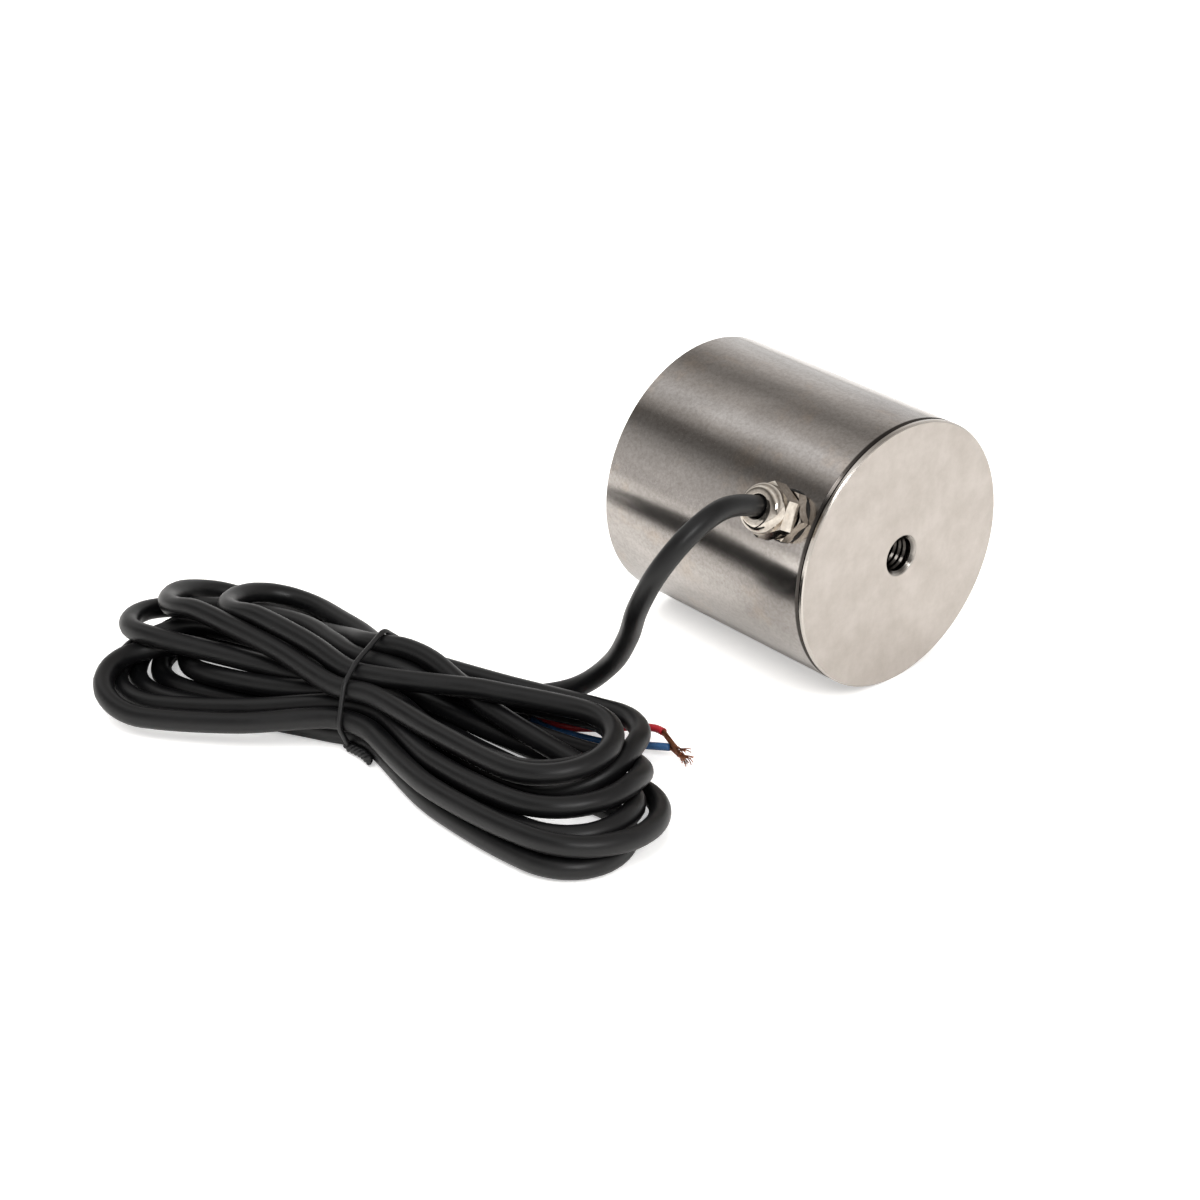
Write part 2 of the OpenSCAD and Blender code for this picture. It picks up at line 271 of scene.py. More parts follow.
@dataclass(frozen=True)
class PolishedNickel(Finish):
    """Nickel plating on a polished turned part: clear reflections that small waves and handling dull in places.

    Attributes:
        light: Colour of the clean plating.
        dull: Colour where it has tarnished.
        stain: Colour of the faint warm stains.
        shade: Colour of the painted shade in the joint at the back plate.
        smooth: Lowest roughness.
        rough: Highest roughness.
        cloud_mm: Size of the tarnish clouds.
        speck_mm: Size of the fine specks in the plating, drawn coarser than the real ones so that they show.
        line_mm: Spacing of the polishing lines, drawn coarser too.
        depth_mm: Height of those lines.
        joint_mm: Where the painted shade of the joint starts and is full, along the magnet's axis.
    """

    light: str = "#c0bbb7"
    dull: str = "#a7a29e"
    stain: str = "#b9a897"
    shade: str = "#2a2623"
    smooth: float = 0.1
    rough: float = 0.2
    cloud_mm: float = 22.0
    speck_mm: float = 1.1
    line_mm: float = 0.7
    depth_mm: float = 0.012
    joint_mm: Pair = (-3.1, -2.7)

    def make(self) -> Material:
        """Make the plating with its clouds, stains, specks and polishing lines, and the painted shade at the joint.

        Returns:
            The material.
        """
        material, tree, shader, place = self.start({"Metallic": 1.0})
        along = add(tree, "ShaderNodeMapping", {"Scale": (0.35, 1.0, 1.0)}, {"Vector": place}).outputs["Vector"]
        clouds = noise(tree, along, self.cloud_mm, {"Detail": 6.0, "Roughness": 0.62, "Distortion": 0.6})
        tone = ramp(tree, clouds, (0.36, self.dull), (0.62, self.light))
        stains = noise(tree, place, self.cloud_mm * 0.8, {"Detail": 4.0, "Roughness": 0.7})
        stained = blend(tree, remap(tree, stains, (0.56, 0.74), (0.0, 0.55)), tone, self.stain)
        specks = noise(tree, place, self.speck_mm, {"Detail": 3.0, "Roughness": 0.7})
        grained = add(
            tree,
            "ShaderNodeMix",
            {"data_type": "RGBA", "blend_type": "MULTIPLY", 0: 1.0},
            {6: stained, 7: ramp(tree, specks, (0.3, "#e4e2e0"), (0.62, "#ffffff"))},
        ).outputs[2]
        at = add(tree, "ShaderNodeSeparateXYZ", None, {"Vector": place}).outputs
        # Painted shade: the tube's end at the joint with the back plate is darkened towards the shade colour.
        joint = remap(tree, at["X"], (self.joint_mm[0] * MM, self.joint_mm[1] * MM), (0.0, 0.9))
        tree.links.new(blend(tree, joint, grained, self.shade), shader.inputs["Base Color"])
        tree.links.new(remap(tree, clouds, (0.3, 0.7), (self.rough, self.smooth)), shader.inputs["Roughness"])
        ringed = add(tree, "ShaderNodeMapping", {"Scale": (1000 / self.line_mm, 12.0, 12.0)}, {"Vector": place})
        lines = add(tree, "ShaderNodeTexNoise", {"Scale": 1.0, "Detail": 3.0}, {"Vector": ringed.outputs["Vector"]})
        relief(tree, shader, lines.outputs["Fac"], 0.35, self.depth_mm)
        return material


@dataclass(frozen=True)
class SatinSteel(Finish):
    """Fine ground steel under thin nickel: a broad soft sheen on the face and a smoother turned edge, with a painted
    highlight in its lighter colour.

    Attributes:
        light: Colour of the face.
        dull: Colour of its darker mottling.
        edge: Colour of the edges, lighter than the face as a painted highlight.
        shade: Colour of the painted shade deep in the shadow groove and the tapped hole, and round the hole's mouth.
        smooth: Roughness of the edges.
        rough: Roughness of the face.
        grit_mm: Width of the grinding grain, drawn coarser than the real one.
        cloud_mm: Size of the mottling.
        hole_mm: Depth down to which the shade reaches.
        edge_mm: Where the edge with its painted highlight stops and the face starts, along the magnet's axis.
        groove_mm: Depths where the shade of the groove is full and where it starts.
        mouth_mm: Radii where the shade round the hole's mouth starts and is full.
        front_mm: Where the front part of the hole stops.
    """

    light: str = "#c7c0ba"
    dull: str = "#b9b2ab"
    edge: str = "#cfc9c2"
    shade: str = "#1d1a17"
    smooth: float = 0.18
    rough: float = 0.46
    grit_mm: float = 0.5
    cloud_mm: float = 9.0
    hole_mm: float = 24.0
    edge_mm: Pair = (-0.3, -0.05)
    groove_mm: Pair = (2.0, 1.2)
    mouth_mm: Pair = (6.4, 5.4)
    front_mm: float = -3.0

    def make(self) -> Material:
        """Make the ground face, its mottling, its edges with a painted highlight, and the painted shade in the
        groove and the tapped hole.

        Returns:
            The material.
        """
        material, tree, shader, place = self.start({"Metallic": 1.0})
        clouds = noise(tree, place, self.cloud_mm, {"Detail": 7.0, "Roughness": 0.68})
        tone = ramp(tree, clouds, (0.35, self.dull), (0.65, self.light))
        at = add(tree, "ShaderNodeSeparateXYZ", None, {"Vector": place}).outputs
        face = remap(tree, at["X"], (self.edge_mm[0] * MM, self.edge_mm[1] * MM))
        # Painted highlight: everything behind the face takes the lighter edge colour.
        colour = add(tree, "ShaderNodeMix", {"data_type": "RGBA", 6: linear(self.edge)}, {0: face, 7: tone})
        # Painted shade: the groove and the tapped hole are darkened from just behind the face down to hole_mm deep,
        # and so is the front of the hole's mouth.
        full, start = (1 - depth / self.hole_mm for depth in self.groove_mm)
        depth = remap(tree, at["X"], (-self.hole_mm * MM, 0.0))
        deep = ramp(tree, depth, (0.0, "#000000"), (0.04, "#f4f4f4"), (full, "#f4f4f4"), (start, "#000000"))
        beside = add(tree, "ShaderNodeVectorMath", {"operation": "MULTIPLY", 1: (0.0, 1.0, 1.0)}, {0: place})
        radius = add(tree, "ShaderNodeVectorMath", {"operation": "LENGTH"}, {0: beside.outputs["Vector"]})
        span = (self.mouth_mm[0] * MM, self.mouth_mm[1] * MM)
        mouth = remap(tree, radius.outputs["Value"], span, (0.0, 0.75))
        front = add(tree, "ShaderNodeMath", {"operation": "GREATER_THAN", 1: self.front_mm * MM}, {0: at["X"]})
        rim = add(tree, "ShaderNodeMath", {"operation": "MULTIPLY"}, {0: mouth, 1: front.outputs["Value"]})
        shaded = add(tree, "ShaderNodeMath", {"operation": "MAXIMUM"}, {0: deep, 1: rim.outputs["Value"]})
        shaded_colour = blend(tree, shaded.outputs["Value"], colour.outputs[2], self.shade)
        tree.links.new(shaded_colour, shader.inputs["Base Color"])
        tree.links.new(remap(tree, face, (0.0, 1.0), (self.smooth, self.rough)), shader.inputs["Roughness"])
        grain = noise(tree, place, self.grit_mm, {"Detail": 4.0, "Roughness": 0.6})
        relief(tree, shader, grain, 0.12, 0.02)
        return material


@dataclass(frozen=True)
class SoftPvc(Finish):
    """Extruded soft PVC: nearly black or coloured, with a low wide sheen and a fine orange-peel texture.

    Attributes:
        light: Colour of the rubbed parts.
        dark: Colour elsewhere.
        rough: Middle roughness.
        speck_mm: Size of the fine orange-peel texture.
        blotch_mm: Size of the rubbed patches.
        bump_mm: Height of the texture.
        vary: How far the roughness goes to either side.
    """

    light: str = "#0c0c0d"
    dark: str = "#070708"
    rough: float = 0.4
    speck_mm: float = 0.6
    blotch_mm: float = 11.0
    bump_mm: float = 0.03
    vary: float = 0.07

    def make(self) -> Material:
        """Make the sheath's patches, its roughness and its fine texture.

        Returns:
            The material.
        """
        material, tree, shader, place = self.start({"IOR": 1.52, "Specular IOR Level": 0.4})
        patches = noise(tree, place, self.blotch_mm, {"Detail": 5.0, "Roughness": 0.6})
        tree.links.new(ramp(tree, patches, (0.35, self.dark), (0.68, self.light)), shader.inputs["Base Color"])
        gloss = remap(tree, patches, (0.3, 0.7), (self.rough - self.vary, self.rough + self.vary))
        tree.links.new(gloss, shader.inputs["Roughness"])
        relief(tree, shader, noise(tree, place, self.speck_mm, {"Detail": 2.0}), 0.25, self.bump_mm)
        return material


@dataclass(frozen=True)
class Moulded(Finish):
    """Moulded or cast plastic, rubber or resin: one hue with slight clouding and a fine texture.

    Attributes:
        light: Lighter tone of the clouding.
        dark: Darker tone.
        rough: Roughness.
        ior: Refractive index.
        cloud_mm: Size of the clouding.
        grain_mm: Size of the surface grain.
    """

    light: str = "#2a2a2a"
    dark: str = "#1c1c1c"
    rough: float = 0.5
    ior: float = 1.5
    cloud_mm: float = 6.0
    grain_mm: float = 0.4

    def make(self) -> Material:
        """Make the clouding and the grain.

        Returns:
            The material.
        """
        material, tree, shader, place = self.start({"IOR": self.ior, "Roughness": self.rough})
        clouds = noise(tree, place, self.cloud_mm, {"Detail": 4.0})
        tree.links.new(ramp(tree, clouds, (0.35, self.dark), (0.65, self.light)), shader.inputs["Base Color"])
        relief(tree, shader, noise(tree, place, self.grain_mm, {"Detail": 2.0}), 0.2, 0.02)
        return material


@dataclass(frozen=True)
class DrawnCopper(Finish):
    """Drawn copper: a bright warm metal with darker oxidised lengths.

    Attributes:
        light: Colour of the fresh metal.
        dark: Colour of the oxidised lengths.
        rough: Roughness.
        patch_mm: Length of the oxidised patches.
    """

    light: str = "#c98a68"
    dark: str = "#8f5238"
    rough: float = 0.28
    patch_mm: float = 3.0

    def make(self) -> Material:
        """Make the fresh and oxidised copper.

        Returns:
            The material.
        """
        material, tree, shader, place = self.start({"Metallic": 1.0, "Roughness": self.rough})
        patches = noise(tree, place, self.patch_mm, {"Detail": 3.0})
        tree.links.new(ramp(tree, patches, (0.4, self.dark), (0.62, self.light)), shader.inputs["Base Color"])
        return material


class Finishes:
    """The object's materials by the record's slot names."""

    def __init__(self) -> None:
        """Make every material once."""
        finishes = {
            "plated_steel": PolishedNickel("nickel_plated_steel"),
            "satin_steel": SatinSteel("ground_steel"),
            "plated_brass": PolishedNickel(
                "nickel_plated_brass",
                light="#ddd6cc",
                dull="#c4bbb0",
                stain="#c9b59c",
                smooth=0.04,
                rough=0.11,
                cloud_mm=5.0,
                line_mm=0.5,
                depth_mm=0.006,
            ),
            "former_nylon": Moulded("moulded_nylon", light="#e2dac6", dark="#d3c9b2", rough=0.45, ior=1.53),
            "copper": DrawnCopper("drawn_copper"),
            "wrap_film": Moulded("polyester_film", light="#c99a2c", dark="#b48722", rough=0.25, ior=1.6),
            "black_resin": Moulded("cast_epoxy", light="#202022", dark="#151516", rough=0.38, ior=1.55),
            "black_rubber": Moulded("nitrile_rubber", light="#1f1f1f", dark="#161616", rough=0.62),
            "red_pvc": SoftPvc("red_pvc", light="#b02a33", dark="#8c1a22", rough=0.36, blotch_mm=3.0),
            "blue_pvc": SoftPvc("blue_pvc", light="#2a5480", dark="#173a5e", rough=0.36, blotch_mm=3.0),
            "sleeve_plastic": Moulded("shrunk_sleeve", light="#232325", dark="#18181a", rough=0.4),
            "black_pvc": SoftPvc("black_pvc_sheath"),
            "tie_plastic": Moulded("polythene_tie", light="#161617", dark="#0e0e0f", rough=0.42),
        }
        self.by_slot = {slot: finish.make() for slot, finish in finishes.items()}

    def dress(self, piece: Piece, slot: str) -> None:
        """Give a piece one finish all over."""
        piece.data.materials.clear()
        piece.data.materials.append(self.by_slot[slot])


# ---- swept tubes


def curve_through(points: np.ndarray, spans: int) -> np.ndarray:
    """Draw a smooth curve through points (a centripetal Catmull-Rom curve).

    Args:
        points: The points, one row each.
        spans: How many steps to take between two points.

    Returns:
        The points of the curve.
    """
    ends = np.vstack([2 * points[0] - points[1], points, 2 * points[-1] - points[-2]])
    out = []
    for a, b, c, d in zip(ends, ends[1:], ends[2:], ends[3:]):
        t1 = math.sqrt(np.linalg.norm(b - a))
        t2 = t1 + math.sqrt(np.linalg.norm(c - b))
        t3 = t2 + math.sqrt(np.linalg.norm(d - c))
        for t in np.linspace(t1, t2, spans, endpoint=False):
            ab = ((t1 - t) * a + t * b) / t1
            bc = ((t2 - t) * b + (t - t1) * c) / (t2 - t1)
            cd = ((t3 - t) * c + (t - t2) * d) / (t3 - t2)
            abc = ((t2 - t) * ab + t * bc) / t2
            bcd = ((t3 - t) * bc + (t - t1) * cd) / (t3 - t1)
            out.append(((t2 - t) * abc + (t - t1) * bcd) / (t2 - t1))
    out.append(points[-1])
    return np.array(out)


def run_length(points: np.ndarray) -> float:
    """Give the length of a run of points."""
    return float(np.linalg.norm(np.diff(points, axis=0), axis=1).sum())


def even_steps(points: np.ndarray, step: float) -> np.ndarray:
    """Place points at even steps along a run.

    Args:
        points: The run.
        step: The wanted distance between two points.

    Returns:
        The new points, with the run's two ends among them.
    """
    at = np.concatenate([[0.0], np.cumsum(np.linalg.norm(np.diff(points, axis=0), axis=1))])
    count = max(2, round(at[-1] / step))
    stops = np.linspace(0.0, at[-1], count + 1)
    return np.stack([np.interp(stops, at, points[:, axis]) for axis in range(3)], axis=1)


def across_and_up(line: np.ndarray) -> tuple[np.ndarray, np.ndarray]:
    """Give two directions across each point of a line.

    Args:
        line: The points, one row each.

    Returns:
        The level directions and the upward ones.
    """
    heading = np.gradient(line, axis=0)
    heading /= np.linalg.norm(heading, axis=1)[:, None]
    across = np.cross(heading, [0.0, 0.0, 1.0])
    across /= np.linalg.norm(across, axis=1)[:, None]
    return across, np.cross(across, heading)


def sweep(name: str, points: np.ndarray, radius: float, sides: int, closed: bool = False) -> Piece:
    """Sweep a round tube along points, with frames that don't twist.

    Args:
        name: The new object's name.
        points: The centre line in millimetres.
        radius: The tube's radius in millimetres.
        sides: How many sides the tube has.
        closed: Whether the last ring joins the first.

    Returns:
        The tube, with flat closed ends unless it is a loop.
    """
    shape = bmesh.new()
    count = len(points)
    if closed:
        heading = np.roll(points, -1, axis=0) - np.roll(points, 1, axis=0)
    else:
        heading = np.gradient(points, axis=0)
    heading /= np.linalg.norm(heading, axis=1)[:, None]
    across = np.cross(heading[0], [0.0, 0.0, 1.0])
    if np.linalg.norm(across) < 0.1:
        across = np.cross(heading[0], [1.0, 0.0, 0.0])
    rings = []
    for point, ahead in zip(points, heading):
        across = across - ahead * np.dot(across, ahead)
        across /= np.linalg.norm(across)
        upward = np.cross(ahead, across)
        ring = []
        for side in range(sides):
            turn = 2 * math.pi * side / sides
            offset = radius * (math.cos(turn) * across + math.sin(turn) * upward)
            ring.append(shape.verts.new(Vector((point + offset) * MM)))
        rings.append(ring)
    last = count if closed else count - 1
    for i in range(last):
        low, high = rings[i], rings[(i + 1) % count]
        for side in range(sides):
            nxt = (side + 1) % sides
            shape.faces.new((low[side], low[nxt], high[nxt], high[side])).smooth = True
    if not closed:
        shape.faces.new(rings[0][::-1])
        shape.faces.new(rings[-1])
    bmesh.ops.recalc_face_normals(shape, faces=shape.faces)
    mesh = bpy.data.meshes.new(name)
    shape.to_mesh(mesh)
    shape.free()
    piece = bpy.data.objects.new(name, mesh)
    bpy.context.collection.objects.link(piece)
    return piece


# ---- the cable


@dataclass(frozen=True)
class Fold:
    """One loop of the hank, in millimetres from the tie.

    Attributes:
        reach: How far the loop's end lies from the tie.
        side: Where the middle of its bend lies across the hank.
        bend: The radius of its bend.
        heights: Heights above the floor where the bend starts, at its end and where the bend stops.
        lean: How far the two runs have spread half-way to the bend, as shares of their spread there.
        crossed: Whether the loop turns the other way, so that its two runs change places.
    """

    reach: float
    side: float
    bend: float
    heights: Point
    lean: Pair = (0.6, 0.6)
    crossed: bool = False


@dataclass
class Cable:
    """The two-core cable from the gland to its stripped end, most of it in the tied hank.

    Attributes:
        width: Outer diameter of the sheath.
        hank_at: Where the tie stands on the floor.
        hank_turn: Direction of the hank in degrees.
        lead: Three points on the gland's axis, then listed points down to the hank, as x, y and height.
        landing: Points of the same run in the hank's own directions, behind it on the way to the tie.
        lanes: Where each run passes through the tie, as place across and height.
        left: The loops on the left, in the order of the cable.
        right: The loops on the right.
        tail: The last points, in the hank's own directions.
        straight: Half the length of each lane under the tie.
        arc_steps: How many steps a bend takes.
        lift: How much of its rise a run has made half-way to the bend.
        step: Distance between two points of the run.
        ring_step: Distance between two rings of the sheath.
        sides: How many sides the sheath has.
        skip: How many steps two points lie apart along the cable before they push each other.
        room: Distance that two runs keep, in diameters.
        ease: How far several pushes on one point are evened out.
        sink: How fast the runs sink at first, for each millimetre above a height, and that height.
        blur: How many points to either side share a push, and how widely.
        shares: The shares of a push that a point keeps and that it hands on.
        gentle: The tightest bend that is left alone, in diameters.
    """

    width: float = 6.0
    hank_at: Pair = (-80.0, -128.0)
    hank_turn: float = 25.0
    lead: tuple[Point, ...] = (
        (-12.0, -25.2, 54.55), (-12.0, -39.06, 62.55), (-12.0, -47.285, 67.3),
        (-12.0, -59.0, 70.5), (-12.0, -71.0, 67.5), (-15.0, -80.0, 58.0), (-21.0, -82.0, 45.0),
        (-28.0, -79.0, 32.0), (-37.0, -77.0, 19.0), (-48.0, -80.0, 8.0), (-60.0, -88.0, 3.0),
    )
    landing: tuple[Point, ...] = ((15.0, 16.0, 3.2),)
    lanes: tuple[Pair, ...] = (
        (15.3, 3.1), (-12.2, 8.4), (6.1, 8.4), (-6.1, 8.4), (12.2, 8.4), (-9.2, 3.1), (9.2, 3.1), (-3.1, 3.1),
        (9.2, 13.7), (0.0, 8.4), (3.1, 13.7), (3.1, 3.1), (18.4, 8.4), (-9.2, 13.7), (-3.1, 13.7), (14.8, 13.0),
    )
    left: tuple[Fold, ...] = (
        Fold(-75.5, -13.5, 15.5, (9.5, 8.0, 5.0), (0.62, 0.62)),
        Fold(-74.0, -3.0, 15.5, (9.5, 4.0, 3.0)),
        Fold(-73.0, 4.0, 15.5, (9.5, 4.0, 3.0)),
        Fold(-72.0, 10.0, 15.5, (3.0, 3.2, 4.0)),
        Fold(-65.0, 14.0, 17.0, (3.0, 4.0, 7.0)),
        Fold(-79.0, 8.5, 15.5, (8.5, 11.0, 13.0), (0.7, 0.6)),
        Fold(-74.0, 19.0, 17.0, (3.0, 10.0, 19.0)),
        Fold(-56.0, 19.0, 15.0, (20.0, 14.0, 9.0), (0.5, 0.5), crossed=True),
    )
    right: tuple[Fold, ...] = (
        Fold(94.0, -27.0, 21.0, (8.5, 6.0, 3.0), (0.62, 0.5)),
        Fold(83.0, -18.5, 21.0, (9.5, 9.0, 3.5), (0.62, 0.5)),
        Fold(92.5, -29.5, 16.5, (4.0, 3.2, 3.0), (0.62, 0.5)),
        Fold(86.5, -23.5, 17.0, (5.0, 4.0, 3.0), (0.62, 0.5)),
        Fold(76.5, -6.0, 18.0, (7.0, 6.0, 4.0), (0.62, 0.5)),
        Fold(79.5, -3.0, 19.5, (4.0, 9.0, 6.0), (0.62, 0.72)),
        Fold(77.0, -10.0, 17.7, (11.0, 11.0, 9.5), (0.5, 0.62)),
    )
    tail: tuple[Point, ...] = ((20.0, 13.6, 8.5), (30.0, 14.0, 5.5), (40.4, 14.5, 4.5))
    straight: float = 5.0
    arc_steps: int = 6
    lift: float = 0.6
    step: float = 3.0
    ring_step: float = 2.0
    sides: int = 20
    skip: int = 7
    room: float = 1.03
    ease: float = 0.6
    sink: Pair = (0.008, 8.0)
    blur: tuple[int, float] = (9, 3.0)
    shares: Pair = (0.55, 0.45)
    gentle: float = 3.3

    def to_floor(self, points: Any) -> np.ndarray:
        """Turn points of the hank's own directions into the part's frame.

        Args:
            points: Rows of place along the hank, place across it and height above the floor.

        Returns:
            Rows of x, y and z in millimetres.
        """
        turn = math.radians(self.hank_turn)
        own = np.asarray(points, dtype=float)
        x = self.hank_at[0] + own[:, 0] * math.cos(turn) - own[:, 1] * math.sin(turn)
        y = self.hank_at[1] + own[:, 0] * math.sin(turn) + own[:, 1] * math.cos(turn)
        return np.stack([x, y, own[:, 2] + FLOOR_Z], axis=1)

    def to_hank(self, points: Any) -> np.ndarray:
        """Turn floor points with their heights into the hank's own directions.

        Args:
            points: Rows of x, y and height above the floor.

        Returns:
            Rows of place along the hank, place across it and height.
        """
        turn = math.radians(self.hank_turn)
        out = np.asarray(points, dtype=float)
        dx, dy = out[:, 0] - self.hank_at[0], out[:, 1] - self.hank_at[1]
        along = dx * math.cos(turn) + dy * math.sin(turn)
        across = dy * math.cos(turn) - dx * math.sin(turn)
        return np.stack([along, across, out[:, 2]], axis=1)

    def loop_points(self, fold: Fold, side: Side, start: Pair, stop: Pair) -> list[Point]:
        """Work out one loop from lane to lane.

        Args:
            fold: The loop.
            side: Which side of the tie it lies on.
            start: The lane it leaves.
            stop: The lane it comes back to.

        Returns:
            Its points in the hank's own directions, from the first lane up to the second.
        """
        way = side.value
        centre = fold.reach - way * fold.bend
        low, tip, high = fold.heights
        spread = -fold.bend if fold.crossed else fold.bend
        bend = []
        for step in range(self.arc_steps + 1):
            share = step / self.arc_steps
            turn = math.radians(90 - 180 * share)
            height = np.interp(share, (0.0, 0.5, 1.0), (low, tip, high))
            across = fold.side - way * spread * math.sin(turn)
            bend.append((centre + way * fold.bend * math.cos(turn), across, height))
        legs = []
        for lane, end, lean in ((start, bend[0], fold.lean[0]), (stop, bend[-1], fold.lean[1])):
            across = lane[0] + (end[1] - lane[0]) * lean
            legs.append((centre / 2, across, lane[1] + (end[2] - lane[1]) * self.lift))
        return [(-way * self.straight, *start), (way * self.straight, *start), legs[0], *bend, legs[1]]

    def route(self) -> tuple[np.ndarray, int]:
        """Lay out the whole cable before it settles.

        Returns:
            Even points in the hank's own directions, and how many of them belong to the lead.
        """
        points = [tuple(row) for row in self.to_hank(self.lead)]
        lead_end = np.array(points[-1])
        points += self.landing
        sides = ((Side.LEFT, self.left), (Side.RIGHT, self.right))
        for turn in range(len(self.lanes) - 1):
            side, folds = sides[turn % 2]
            points += self.loop_points(folds[turn // 2], side, self.lanes[turn], self.lanes[turn + 1])
        last = self.lanes[-1]
        points += [(-self.straight, *last), (self.straight, *last), *self.tail]
        run = even_steps(curve_through(np.array(points), 10), self.step)
        return run, int(np.argmin(np.linalg.norm(run - lead_end, axis=1)))

    def settle(self, run: np.ndarray, held: int, rounds: int = 360) -> np.ndarray:
        """Let the runs of cable sink and push each other apart until they lie on each other.

        Args:
            run: The even points.
            held: How many points at the start stay where they are.
            rounds: How often to push.

        Returns:
            The settled points.
        """
        now = run.copy()
        one, two = np.triu_indices(len(run), self.skip)
        reach, wide = self.blur
        blur = np.exp(-(np.arange(-reach, reach + 1) ** 2) / (2 * wide**2))
        blur /= blur.sum()
        room = self.width * self.room
        sinking, low = self.sink
        kept, handed_on = self.shares
        for turn in range(rounds):
            gap = now[two] - now[one]
            far = np.sqrt((gap**2).sum(axis=1))
            near = far < room
            i, j = one[near], two[near]
            push = ((room - far[near]) / np.maximum(far[near], 1e-6) * 0.5)[:, None] * gap[near]
            move = np.zeros_like(now)
            np.add.at(move, i, -push)
            np.add.at(move, j, push)
            share = np.bincount(np.concatenate([i, j]), minlength=len(run))
            move /= np.maximum(1.0, share * self.ease)[:, None]
            if turn < rounds * 2 / 3:
                move[:, 2] -= sinking * np.maximum(0.0, now[:, 2] - low)
            shift = now + move - run
            shift[:held] = 0.0
            padded = np.pad(shift, ((reach, reach), (0, 0)), mode="edge")
            soft = np.stack([np.convolve(padded[:, axis], blur, mode="valid") for axis in range(3)], axis=1)
            shift = shift * kept + soft * handed_on
            shift[:held] = 0.0
            now = self.unbend(run + shift, held)
            now[:, 2] = np.maximum(now[:, 2], self.width / 2)
        return now

    def unbend(self, run: np.ndarray, held: int, passes: int = 16) -> np.ndarray:
        """Open the tight bends a little.

        Args:
            run: The even points.
            held: How many points at the start stay where they are.
            passes: How many small moves to make.

        Returns:
            The points after those moves.
        """
        most = self.step**2 / (self.gentle * self.width)
        for _ in range(passes):
            bent = run[2:] - 2 * run[1:-1] + run[:-2]
            size = np.linalg.norm(bent, axis=1)
            over = bent * (np.maximum(0.0, size - most) / np.maximum(size, 1e-6))[:, None]
            move = np.zeros_like(run)
            move[1:-1] += over / 3
            move[:-2] -= over / 6
            move[2:] -= over / 6
            move[:held] = 0.0
            run = run + move
        return run

    def build(self, finishes: Finishes) -> np.ndarray:
        """Make the sheath along the settled route.

        Args:
            finishes: The object's materials.

        Returns:
            The settled points in the hank's own directions.
        """
        run, held = self.route()
        settled = self.settle(run, held)
        centre = even_steps(self.to_floor(curve_through(settled, 3)), self.ring_step)
        sheath = sweep("cable_sheath", centre, self.width / 2, self.sides)
        finishes.dress(sheath, "black_pvc")
        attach(sheath, ROOT)
        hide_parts("cable_lead", "cable_hank")
        LOG.info("cable: %.0f mm of sheath", run_length(centre))
        return settled


